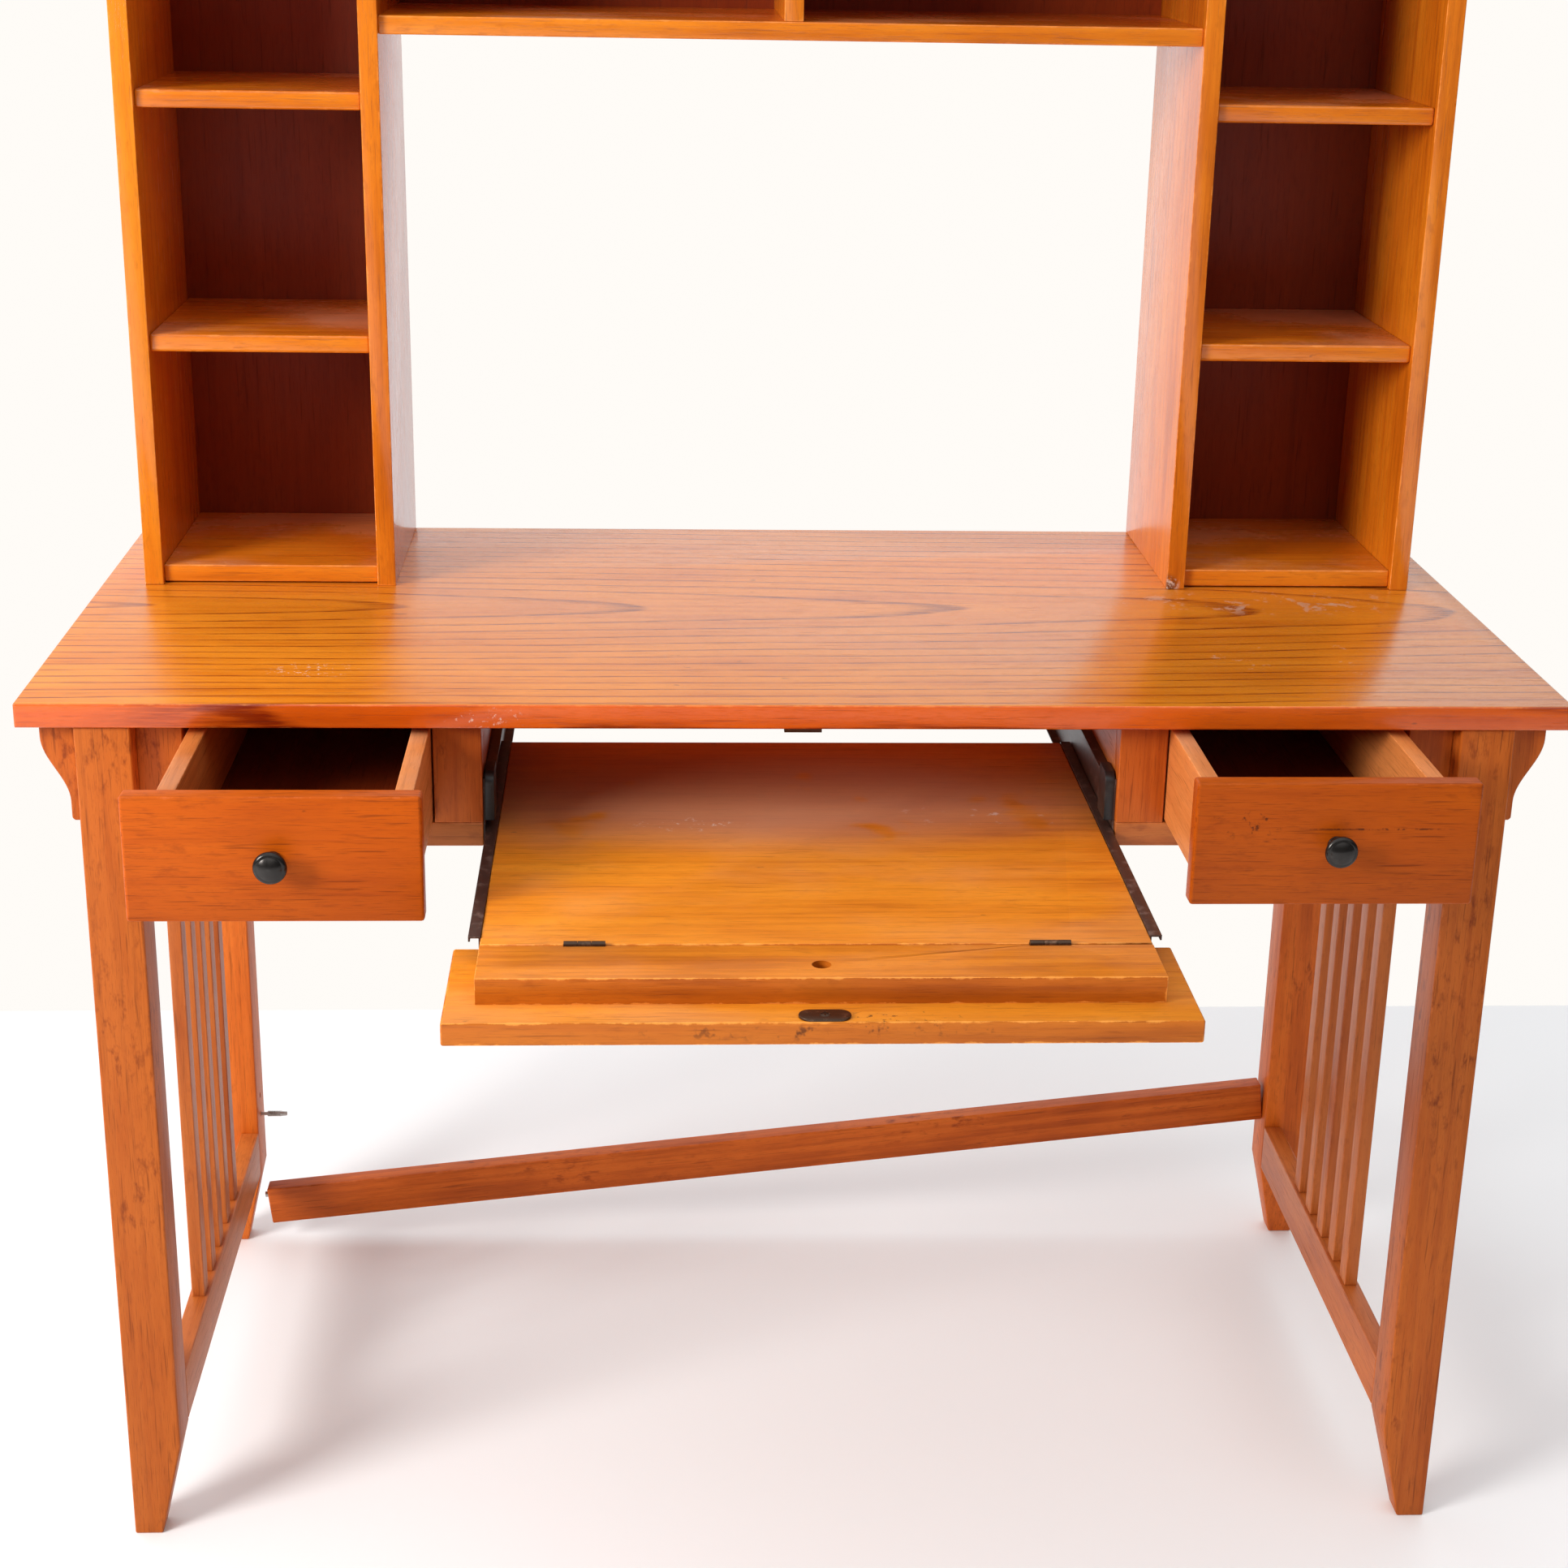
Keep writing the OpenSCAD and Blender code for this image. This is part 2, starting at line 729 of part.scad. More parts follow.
module drawer_left_front() drawer_front(LEFT, left_out);
module drawer_left_sides() drawer_sides(LEFT, left_out);
module drawer_left_back() drawer_back(LEFT, left_out);
module drawer_left_bottom() drawer_bottom(LEFT, left_out);
module drawer_left_knob() drawer_knob(LEFT, left_out);
module drawer_right_front() drawer_front(RIGHT, right_out);
module drawer_right_sides() drawer_sides(RIGHT, right_out);
module drawer_right_back() drawer_back(RIGHT, right_out);
module drawer_right_bottom() drawer_bottom(RIGHT, right_out);
module drawer_right_knob() drawer_knob(RIGHT, right_out);

// ---- What is drawn ----

desktop();
leg_front_left();
leg_front_right();
leg_back_left();
leg_back_right();
side_top_rails();
side_bottom_rail_left();
side_bottom_rail_right();
side_slats_left();
side_slats_right();
corbels();
back_apron();
drawer_posts();
drawer_rails();
divider_panel_left();
divider_panel_right();
drawer_runners();
magnetic_catch();
tray_channels();
slide_stops();
channel_rollers();
stretcher();
stretcher_dowel();
stretcher_bolts();
hutch_outer_side_left();
hutch_outer_side_right();
hutch_inner_side_left();
hutch_inner_side_right();
hutch_base_left();
hutch_base_right();
hutch_lower_shelf_left();
hutch_lower_shelf_right();
hutch_upper_shelf_left();
hutch_upper_shelf_right();
hutch_middle_shelf();
hutch_middle_divider();
hutch_top();
hutch_tower_backs();
hutch_middle_back();
hutch_screws();
tray_board();
tray_slides();
slide_rollers();
tray_hinge_leaves();
flap_panel();
flap_batten();
flap_hinge_leaves();
hinge_pins();
strike_plate();
flap_knob();
drawer_left_front();
drawer_left_sides();
drawer_left_back();
drawer_left_bottom();
drawer_left_knob();
drawer_right_front();
drawer_right_sides();
drawer_right_back();
drawer_right_bottom();
drawer_right_knob();
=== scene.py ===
"""Looks for the desk with hutch: stained oak boards, dark hardware and a plain pale studio.

Each wooden node is shown by a copy of its own mesh with eased edges. The copy carries per-vertex
attributes, measured in metres from the middle of each board, that the wood materials read:
  grain   (along the grain, across it, through the thickness)
  half    half the board's size along each of those directions
  place   the point in the row frame at rest
  seed    a number from 0 to 1 that is different for each board
  stain   how strongly the board took the colour it was stained with, about 1, and painted
         shading: some boards are made darker and some lighter for how light falls on them
  upward  1 where the face looks up at rest, where dust settles; other faces may take painted shade
"""

import json
import math
import random

import bmesh
import bpy
from mathutils import Matrix, Vector

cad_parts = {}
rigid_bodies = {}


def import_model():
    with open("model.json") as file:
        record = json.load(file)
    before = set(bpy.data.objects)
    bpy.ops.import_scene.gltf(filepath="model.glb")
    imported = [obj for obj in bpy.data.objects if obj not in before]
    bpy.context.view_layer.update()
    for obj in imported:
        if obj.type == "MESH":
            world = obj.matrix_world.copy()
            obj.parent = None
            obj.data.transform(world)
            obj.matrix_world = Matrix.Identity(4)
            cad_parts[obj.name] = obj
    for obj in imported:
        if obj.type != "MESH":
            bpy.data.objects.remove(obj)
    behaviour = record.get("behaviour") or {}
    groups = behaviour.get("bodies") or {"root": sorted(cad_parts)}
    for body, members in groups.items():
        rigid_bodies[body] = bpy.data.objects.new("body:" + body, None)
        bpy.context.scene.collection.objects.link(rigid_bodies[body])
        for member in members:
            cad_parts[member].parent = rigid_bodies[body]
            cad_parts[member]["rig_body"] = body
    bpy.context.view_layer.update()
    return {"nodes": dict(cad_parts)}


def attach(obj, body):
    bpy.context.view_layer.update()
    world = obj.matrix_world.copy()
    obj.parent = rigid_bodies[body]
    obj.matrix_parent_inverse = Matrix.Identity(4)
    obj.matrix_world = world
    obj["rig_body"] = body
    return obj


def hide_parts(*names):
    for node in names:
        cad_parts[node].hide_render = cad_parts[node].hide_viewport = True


MM = 0.001
SHARP_ANGLE = math.radians(30)
STRETCHER_DROOP = math.radians(6.3)

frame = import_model()
nodes = frame["nodes"]


# ---------------------------------------------------------------- node trees


class Graph:
    """A node tree, with one short method for each kind of node that is used here."""

    def __init__(self, tree):
        self.tree = tree
        self.tree.nodes.clear()

    def add(self, kind, **settings):
        node = self.tree.nodes.new(kind)
        for key, value in settings.items():
            setattr(node, key, value)
        return node

    def feed(self, socket, value):
        """Links a socket to another one, or sets it to a number or a tuple."""
        if isinstance(value, bpy.types.NodeSocket):
            self.tree.links.new(value, socket)
        else:
            socket.default_value = value

    def attribute(self, name, output="Vector"):
        return self.add("ShaderNodeAttribute", attribute_name=name).outputs[output]

    def math(self, operation, *values):
        node = self.add("ShaderNodeMath", operation=operation)
        for socket, value in zip(node.inputs, values):
            self.feed(socket, value)
        return node.outputs[0]

    def vector(self, operation, *values):
        node = self.add("ShaderNodeVectorMath", operation=operation)
        for socket, value in zip(node.inputs, values):
            self.feed(socket, value)
        return node.outputs["Value" if operation in ("LENGTH", "DISTANCE") else 0]

    def split(self, vector):
        node = self.add("ShaderNodeSeparateXYZ")
        self.feed(node.inputs[0], vector)
        return node.outputs[:]

    def join(self, x, y, z):
        node = self.add("ShaderNodeCombineXYZ")
        for socket, value in zip(node.inputs, (x, y, z)):
            self.feed(socket, value)
        return node.outputs[0]

    def noise(self, vector, seed, detail=2.0, roughness=0.5):
        """Noise from 0 to 1 with features about one unit of the vector wide."""
        node = self.add("ShaderNodeTexNoise", noise_dimensions="4D")
        self.feed(node.inputs["Vector"], vector)
        self.feed(node.inputs["W"], seed)
        self.feed(node.inputs["Scale"], 1.0)
        self.feed(node.inputs["Detail"], detail)
        self.feed(node.inputs["Roughness"], roughness)
        return node.outputs["Fac"]

    def step(self, value, start, end, before=0.0, after=1.0):
        """A smooth change from one level to another as the value goes from start to end, either way."""
        node = self.add("ShaderNodeMapRange", interpolation_type="SMOOTHSTEP")
        self.feed(node.inputs["Value"], value)
        self.feed(node.inputs["From Min"], start)
        self.feed(node.inputs["From Max"], end)
        self.feed(node.inputs["To Min"], before)
        self.feed(node.inputs["To Max"], after)
        return node.outputs["Result"]

    def mix(self, share, first, second):
        node = self.add("ShaderNodeMix", data_type="RGBA")
        self.feed(node.inputs[0], share)
        for socket, value in ((node.inputs[6], first), (node.inputs[7], second)):
            self.feed(socket, value if isinstance(value, bpy.types.NodeSocket) else (*value, 1.0))
        return node.outputs[2]

    def bump(self, height, strength, distance):
        node = self.add("ShaderNodeBump")
        self.feed(node.inputs["Height"], height)
        self.feed(node.inputs["Strength"], strength)
        self.feed(node.inputs["Distance"], distance)
        return node.outputs["Normal"]


class MaterialGraph(Graph):
    """The node tree of a new material with one principled shader."""

    def __init__(self, name):
        self.material = bpy.data.materials.new(name)
        self.material.use_nodes = True
        super().__init__(self.material.node_tree)
        self.shader = self.add("ShaderNodeBsdfPrincipled")
        output = self.add("ShaderNodeOutputMaterial")
        self.feed(output.inputs["Surface"], self.shader.outputs["BSDF"])

    def surface(self, **values):
        """Sets the shader's sockets by name, with underscores for spaces."""
        for key, value in values.items():
            self.feed(self.shader.inputs[key.replace("_", " ")], value)


# ---------------------------------------------------------------- wood

WHITE_SCUFF = (0.80, 0.66, 0.58)
GREY_SMUDGE = (0.62, 0.42, 0.32)
# The next colour is painted shadow: the desktop's shadow on the tray's rear half, tinted as a dusty haze.
HAZE_AND_PAINTED_SHADOW = (0.56, 0.26, 0.16)
DARK_NICK = (0.05, 0.012, 0.004)
DUST = (0.62, 0.36, 0.25)

# Metres
PITH_ACROSS = (-0.08, 0.08)   # where the pith lies, from the middle of the board
PITH_DEEP = (0.03, 0.08)
WAVE_HEIGHT = 0.034           # how far slow noise bends the rings
RIPPLE_HEIGHT = 0.0022
RUB_REACH = (0.0004, 0.0034)  # how far in from an edge the lacquer has rubbed through
PORE_RELIEF = 0.0004

TONE_SPREAD = (-0.08, 0.08)   # how far one board's tone is from another's
PORE_DARKNESS = 0.45          # a pore's colour, as a share of the dark stain
MARK_STRENGTH = 0.75


def wood(
    name,
    *,
    dark,
    mid,
    light,
    ring_pitch,
    ring_depth,
    ring_slope,
    mottle,
    wear,
    gloss,
    ring_width=0.38,
    pore_depth=0.35,
    dust=0.0,
    shine=0.3,
    figure=1.0,
    painted_side_shade=(1.0, 1.0, 1.0),
    nicks=0.0,
    marks=(),
):
    """Stained oak under satin lacquer.

    dark, mid and light are the colours the oak was stained with. ring_pitch is the growth rings'
    spacing where they meet the face, ring_depth how dark they are, ring_width the share of the pitch
    that is dark, and ring_slope how fast they drift along the board, which bends them into arches.
    pore_depth, mottle, wear and dust are shares from 0 to 1. gloss is the lacquer's roughness and
    shine its specular level. figure is how strongly the stained tone varies. rim is painted shade: it
    multiplies the colour of faces that don't look up, so that they look darker than the top. nicks is
    how dark the small dents are. marks are patches of scuffs, nicks, smudges and painted shadow, each
    (middle in the row frame, half sizes, colour, share covered, flecks a metre).
    """
    g = MaterialGraph(name)
    grain = g.attribute("grain")
    place = g.attribute("place")
    seed = g.attribute("seed", "Fac")
    along, across, deep = g.split(grain)

    def layer(lengthwise, crosswise, step, detail=2.0, roughness=0.5):
        """Noise with this many features a metre along the grain and across it, new for each board."""
        stretched = g.vector("MULTIPLY", grain, (lengthwise, crosswise, crosswise))
        return g.noise(stretched, g.math("MULTIPLY", seed, step), detail, roughness)

    def pick(span, step):
        """A number within a span, new for each board."""
        low, high = span
        share = g.math("FRACT", g.math("MULTIPLY", seed, step))
        return g.math("MULTIPLY_ADD", share, high - low, low)

    # Growth rings are cones round a pith that lies off the board, bent by slow noise.
    wave = g.math("SUBTRACT", layer(1.6, 7.0, 40.0, detail=2.5), 0.5)
    ripple = g.math("SUBTRACT", layer(9.0, 30.0, 55.0, detail=1.0), 0.5)
    pith_across = pick(PITH_ACROSS, 37.0)
    pith_deep = pick(PITH_DEEP, 91.0)
    drift = g.math("MULTIPLY", along, ring_slope)
    from_pith = g.vector(
        "LENGTH",
        g.join(
            0.0,
            g.math("ADD", across, pith_across),
            g.math("ADD", g.math("ADD", deep, pith_deep), drift),
        ),
    )
    bent = g.math("ADD", from_pith, g.math("MULTIPLY", wave, WAVE_HEIGHT))
    bent = g.math("ADD", bent, g.math("MULTIPLY", ripple, RIPPLE_HEIGHT))
    phase = g.math("FRACT", g.math("DIVIDE", bent, ring_pitch))
    ring_start = 1.0 - ring_width
    ring_full = 1.0 - 0.2 * ring_width
    ring = g.math("MULTIPLY", g.step(phase, ring_start, ring_full), g.step(phase, 1.0, ring_full))

    # Pores are fine dark streaks, thickest in the rings. Streaks are the broader bands of tone.
    streak = layer(3.0, 150.0, 17.0, detail=3.0, roughness=0.6)
    fine = layer(70.0, 1500.0, 23.0, roughness=0.6)
    long_pore = layer(22.0, 620.0, 29.0, detail=1.0)
    pore = g.math(
        "MAXIMUM",
        g.math("MULTIPLY", g.step(fine, 0.52, 0.72), 0.7),
        g.step(long_pore, 0.60, 0.74),
    )
    broken = g.step(layer(28.0, 420.0, 1.0), 0.30, 0.62)
    ring = g.math("MULTIPLY", ring, g.math("MULTIPLY_ADD", broken, 0.75, 0.25))
    blotch = layer(7.0, 26.0, 61.0, detail=3.0, roughness=0.55)
    speckle = layer(60.0, 150.0, 71.0, detail=3.0, roughness=0.65)

    tone = g.math("ADD", g.math("MULTIPLY", streak, 0.45), g.math("MULTIPLY", blotch, 0.55))
    tone = g.math("ADD", tone, pick(TONE_SPREAD, 13.0))
    tone = g.math("MULTIPLY_ADD", g.math("SUBTRACT", tone, 0.5), figure, 0.5)
    colour = g.mix(g.step(tone, 0.36, 0.66), mid, light)
    colour = g.mix(g.math("MULTIPLY", g.step(tone, 0.47, 0.28), 0.45), colour, dark)
    blots = g.math("MULTIPLY", g.step(speckle, 0.50, 0.72), g.step(blotch, 0.42, 0.62))
    colour = g.mix(g.math("MULTIPLY", blots, mottle), colour, dark)
    colour = g.mix(g.math("MULTIPLY", ring, ring_depth), colour, dark)
    pore_colour = tuple(PORE_DARKNESS * part for part in dark)
    colour = g.mix(g.math("MULTIPLY", pore, pore_depth), colour, pore_colour)

    # Each board's colour is scaled by its own number: partly how strongly it took the colour it was
    # stained with, partly painted shading for how light falls on it.
    stain_and_painted_shading = g.attribute("stain_and_painted_shading", "Fac")
    colour = g.vector("MULTIPLY", colour, g.join(stain_and_painted_shading, stain_and_painted_shading, stain_and_painted_shading))
    # Painted shade: faces that don't look up are multiplied down by rim, darker than the top.
    upward = g.attribute("upward", "Fac")
    colour = g.mix(upward, g.vector("MULTIPLY", colour, painted_side_shade), colour)
    dents = layer(55.0, 130.0, 83.0)
    colour = g.mix(g.math("MULTIPLY", g.step(dents, 0.74, 0.79), nicks), colour, DARK_NICK)

    # The lacquer has rubbed through in places along the edges, where the middle one of the three
    # distances to the board's faces is small.
    inside = g.vector("SUBTRACT", g.attribute("half"), g.vector("ABSOLUTE", grain))
    in_along, in_across, in_deep = g.split(inside)
    low = g.math("MINIMUM", in_along, in_across)
    high = g.math("MAXIMUM", in_along, in_across)
    to_edge = g.math("MAXIMUM", low, g.math("MINIMUM", high, in_deep))
    rub = g.noise(g.vector("MULTIPLY", place, (60.0, 60.0, 60.0)), seed, 4.0, 0.7)
    reach = g.step(rub, 0.42, 0.75, *RUB_REACH)
    rubbed = g.math("MULTIPLY", g.step(to_edge, reach, 0.0), wear)
    bare_wood = tuple(min(1.0, 1.25 * part + 0.05) for part in light)
    colour = g.mix(rubbed, colour, bare_wood)

    # Marks and dust lie on the surface; the tray's broad haze mark is painted shadow with a dusty tint.
    rough = g.math("MULTIPLY_ADD", pore, 0.12, gloss)
    rough = g.math("ADD", rough, g.math("MULTIPLY", blotch, 0.06))
    for middle, half, tint, cover, scale in marks:
        offset = g.vector("DIVIDE", g.vector("SUBTRACT", place, middle), half)
        fade = g.step(g.vector("LENGTH", offset), 1.0, 0.35)
        flecks = g.noise(g.vector("MULTIPLY", place, (scale, scale, scale)), middle[0], 3.0, 0.7)
        least = 0.70 - 0.30 * cover
        mark = g.math("MULTIPLY", fade, g.step(flecks, least, least + 0.10))
        colour = g.mix(g.math("MULTIPLY", mark, MARK_STRENGTH), colour, tint)
        rough = g.math("ADD", rough, g.math("MULTIPLY", mark, 0.2))
    if dust:
        cloud = g.noise(g.vector("MULTIPLY", place, (6.5, 9.0, 9.0)), 3.0, 6.0, 0.55)
        settled = g.math("MULTIPLY", g.step(cloud, 0.44, 0.68), upward)
        settled = g.math("MULTIPLY", settled, dust)
        colour = g.mix(settled, colour, DUST)
        rough = g.math("MULTIPLY_ADD", settled, 0.5, rough)

    height = g.math("MULTIPLY_ADD", ring, -0.35, g.math("MULTIPLY", pore, -0.65))
    g.surface(
        Base_Color=colour,
        Roughness=rough,
        Specular_IOR_Level=shine,
        Normal=g.bump(height, 0.25, PORE_RELIEF),
    )
    return g.material


# ---------------------------------------------------------------- metal and nylon


PATCHES = 120.0     # patches of tone a metre
PEBBLES = 900.0     # pebbles a metre
PEBBLE_RELIEF = 0.0002


def hardware(name, colour, worn, metallic, rough):
    """Metal or moulded nylon: uneven tone, worn high spots and a slightly pebbled surface."""
    g = MaterialGraph(name)
    place = g.add("ShaderNodeTexCoord").outputs["Object"]
    tone = g.noise(g.vector("MULTIPLY", place, (PATCHES,) * 3), 1.0, 4.0, 0.6)
    pebble = g.noise(g.vector("MULTIPLY", place, (PEBBLES,) * 3), 2.0)
    rubbed = g.step(g.math("MULTIPLY_ADD", pebble, 0.25, tone), 0.62, 0.86)
    g.surface(
        Base_Color=g.mix(rubbed, colour, worn),
        Metallic=metallic,
        Roughness=g.math("MULTIPLY_ADD", tone, 0.22, rough - 0.1),
        Normal=g.bump(pebble, 0.15, PEBBLE_RELIEF),
    )
    return g.material


WOODS = {
    "oak_desktop": dict(
        dark=(0.24, 0.036, 0.003),
        mid=(0.62, 0.160, 0.007),
        light=(0.77, 0.248, 0.015),
        ring_pitch=0.018,
        ring_depth=1.0,
        ring_slope=0.08,
        ring_width=0.26,
        mottle=0.1,
        wear=0.35,
        gloss=0.20,
        shine=0.55,
        # Painted shade: the desktop's sides and edges are coloured darker than its top.
        painted_side_shade=(0.92, 0.48, 0.40),
        nicks=0.5,
        marks=(
            ((-0.395, -0.045, 0.762), (0.045, 0.025, 0.01), WHITE_SCUFF, 0.45, 260.0),
            ((-0.250, -0.136, 0.752), (0.040, 0.01, 0.012), WHITE_SCUFF, 0.45, 260.0),
            ((0.430, 0.010, 0.762), (0.16, 0.09, 0.01), GREY_SMUDGE, 0.2, 60.0),
            ((0.430, 0.170, 0.762), (0.18, 0.05, 0.01), GREY_SMUDGE, 0.5, 60.0),
        ),
    ),
    "oak_frame": dict(
        dark=(0.20, 0.028, 0.003),
        mid=(0.46, 0.090, 0.008),
        light=(0.56, 0.130, 0.015),
        ring_pitch=0.012,
        ring_depth=0.2,
        ring_slope=0.02,
        pore_depth=0.45,
        mottle=0.85,
        wear=0.3,
        gloss=0.38,
        shine=0.18,
        nicks=0.4,
    ),
    "oak_rails": dict(
        dark=(0.20, 0.030, 0.005),
        mid=(0.46, 0.108, 0.018),
        light=(0.57, 0.160, 0.030),
        ring_pitch=0.011,
        ring_depth=0.15,
        ring_slope=0.02,
        mottle=0.35,
        wear=0.25,
        gloss=0.38,
    ),
    "oak_hutch": dict(
        dark=(0.28, 0.046, 0.003),
        mid=(0.68, 0.165, 0.006),
        light=(0.80, 0.240, 0.012),
        ring_pitch=0.010,
        ring_depth=0.18,
        ring_slope=0.02,
        mottle=0.3,
        wear=0.6,
        dust=0.45,
        gloss=0.14,
        shine=0.6,
        nicks=0.7,
        marks=(
            ((0.352, 0.214, 0.766), (0.012, 0.006, 0.013), DARK_NICK, 1.2, 200.0),
            ((0.356, 0.214, 0.766), (0.009, 0.006, 0.010), WHITE_SCUFF, 0.7, 300.0),
        ),
    ),
    # The back panels are coloured very dark: painted shade for the dim insides of the cubbies.
    "back_veneer": dict(
        dark=(0.09, 0.010, 0.002),
        mid=(0.20, 0.025, 0.003),
        light=(0.25, 0.035, 0.004),
        ring_pitch=0.030,
        ring_depth=0.1,
        ring_slope=0.05,
        pore_depth=0.35,
        mottle=0.3,
        wear=0.0,
        gloss=0.42,
        figure=0.75,
    ),
    "oak_drawer_front": dict(
        dark=(0.18, 0.022, 0.002),
        mid=(0.45, 0.072, 0.002),
        light=(0.54, 0.102, 0.003),
        ring_pitch=0.014,
        ring_depth=0.12,
        ring_slope=0.05,
        pore_depth=0.5,
        mottle=0.4,
        wear=0.4,
        gloss=0.36,
        shine=0.12,
        figure=0.6,
        nicks=0.6,
        marks=(
            ((0.430, -0.257, 0.704), (0.075, 0.01, 0.0012), DARK_NICK, 0.8, 260.0),
            ((0.330, -0.257, 0.708), (0.040, 0.01, 0.016), DARK_NICK, 0.4, 120.0),
        ),
    ),
    "drawer_wood": dict(
        dark=(0.30, 0.070, 0.012),
        mid=(0.58, 0.165, 0.032),
        light=(0.70, 0.235, 0.060),
        ring_pitch=0.009,
        ring_depth=0.2,
        ring_slope=0.03,
        mottle=0.3,
        wear=0.5,
        dust=0.3,
        gloss=0.45,
    ),
    "oak_tray": dict(
        dark=(0.28, 0.052, 0.004),
        mid=(0.72, 0.212, 0.011),
        light=(0.83, 0.280, 0.018),
        ring_pitch=0.020,
        ring_depth=0.16,
        ring_slope=0.04,
        mottle=0.25,
        wear=0.8,
        dust=0.12,
        gloss=0.32,
        shine=0.25,
        # Painted shade: the tray's sides and edges, the front edge among them, are coloured darker than
        # its top.
        painted_side_shade=(0.72, 0.58, 0.60),
        nicks=0.6,
        marks=(
            # The first mark is painted shadow: the desktop's shadow over the tray's rear half, with a
            # dusty haze in it.
            ((-0.02, -0.02, 0.647), (0.36, 0.16, 0.01), HAZE_AND_PAINTED_SHADOW, 1.2, 9.0),
            ((-0.09, -0.095, 0.647), (0.06, 0.02, 0.01), WHITE_SCUFF, 0.4, 160.0),
            ((0.15, -0.075, 0.647), (0.10, 0.03, 0.01), WHITE_SCUFF, 0.35, 90.0),
            ((0.05, -0.425, 0.627), (0.06, 0.02, 0.01), DARK_NICK, 0.4, 160.0),
            ((0.00, -0.440, 0.619), (0.22, 0.02, 0.009), DARK_NICK, 0.45, 70.0),
        ),
    ),
}

# colour, worn colour, metallic, roughness
HARDWARE = {
    "dark_pewter": ((0.030, 0.026, 0.024), (0.050, 0.044, 0.040), 0.7, 0.20),
    "dark_bronze": ((0.075, 0.045, 0.030), (0.24, 0.14, 0.09), 0.85, 0.36),
    "brown_steel": ((0.060, 0.030, 0.022), (0.16, 0.10, 0.08), 0.2, 0.40),
    "roller_nylon": ((0.012, 0.011, 0.011), (0.030, 0.028, 0.026), 0.0, 0.42),
    "bolt_steel": ((0.50, 0.49, 0.47), (0.30, 0.28, 0.26), 1.0, 0.32),
}

materials = {name: wood(name, **look) for name, look in WOODS.items()}
materials |= {name: hardware(name, *look) for name, look in HARDWARE.items()}


# ---------------------------------------------------------------- boards


def islands(bm):
    """The separate solids of a mesh, each as a list of faces, in the order of their first faces."""
    left = set(bm.faces)
    found = []
    for first in bm.faces:
        if first not in left:
            continue
        left.remove(first)
        queue = [first]
        solid = []
        while queue:
            face = queue.pop()
            solid.append(face)
            for edge in face.edges:
                for other in edge.link_faces:
                    if other in left:
                        left.remove(other)
                        queue.append(other)
        found.append(solid)
    return found


def eased_copy(node, radius, shortest):
    """A copy of a CAD node's mesh whose sharp edges, from the shortest length up, are rounded off.

    Shorter ones, such as those round a screw hole, stay sharp.
    """
    bm = bmesh.new()
    bm.from_mesh(node.data)
    bmesh.ops.remove_doubles(bm, verts=bm.verts, dist=1e-6)
    bmesh.ops.dissolve_limit(bm, angle_limit=math.radians(1), verts=bm.verts, edges=bm.edges)
    weight = bm.edges.layers.float.new("bevel_weight_edge")
    for edge in bm.edges:
        if len(edge.link_faces) == 2 and edge.calc_face_angle() > SHARP_ANGLE:
            edge[weight] = float(edge.calc_length() >= shortest)
            edge.smooth = edge.calc_length() >= shortest
    mesh = bpy.data.meshes.new(node.name + "_shown")
    bm.to_mesh(mesh)
    bm.free()
    for polygon in mesh.polygons:
        polygon.use_smooth = True
    shown = bpy.data.objects.new(node.name + "_shown", mesh)
    bpy.context.scene.collection.objects.link(shown)
    ease = shown.modifiers.new("ease", "BEVEL")
    ease.width = radius
    ease.segments = 3
    ease.limit_method = "WEIGHT"
    ease.harden_normals = True
    bpy.context.view_layer.update()
    evaluated = shown.evaluated_get(bpy.context.evaluated_depsgraph_get())
    shown.data = bpy.data.meshes.new_from_object(evaluated)
    shown.modifiers.clear()
    return shown


def write_attribute(mesh, name, kind, values):
    attribute = mesh.attributes.new(name, kind, "POINT")
    key = "vector" if kind == "FLOAT_VECTOR" else "value"
    flat = [number for value in values for number in value] if key == "vector" else values
    attribute.data.foreach_set(key, flat)


def grain_attributes(shown, axis, draw, turn, stain_and_painted_shading):
    """Writes the attributes that the wood materials read. axis is 0, 1 or 2, the way the grain runs."""
    mesh = shown.data
    bm = bmesh.new()
    bm.from_mesh(mesh)
    grain = [None] * len(mesh.vertices)
    halves = [None] * len(mesh.vertices)
    seeds = [0.0] * len(mesh.vertices)
    back = turn.inverted()
    for solid in islands(bm):
        points = {v.index: back @ v.co for face in solid for v in face.verts}
        low = Vector(min(p[i] for p in points.values()) for i in range(3))
        high = Vector(max(p[i] for p in points.values()) for i in range(3))
        half = (high - low) / 2
        middle = (high + low) / 2
        thin, broad = sorted((i for i in range(3) if i != axis), key=lambda i: half[i])
        order = (axis, broad, thin)
        seed = draw.random()
        for index, point in points.items():
            inner = point - middle
            grain[index] = [inner[i] for i in order]
            halves[index] = [half[i] for i in order]
            seeds[index] = seed
    bm.free()
    write_attribute(mesh, "grain", "FLOAT_VECTOR", grain)
    write_attribute(mesh, "half", "FLOAT_VECTOR", halves)
    write_attribute(mesh, "place", "FLOAT_VECTOR", [v.co[:] for v in mesh.vertices])
    write_attribute(mesh, "seed", "FLOAT", seeds)
    write_attribute(mesh, "stain_and_painted_shading", "FLOAT", [stain_and_painted_shading] * len(mesh.vertices))
    upward = mesh.attributes.new("upward", "FLOAT", "CORNER")
    levels = [0.0] * len(mesh.loops)
    for polygon in mesh.polygons:
        for loop in polygon.loop_indices:
            levels[loop] = float(polygon.normal.z > 0.9)
    upward.data.foreach_set("value", levels)


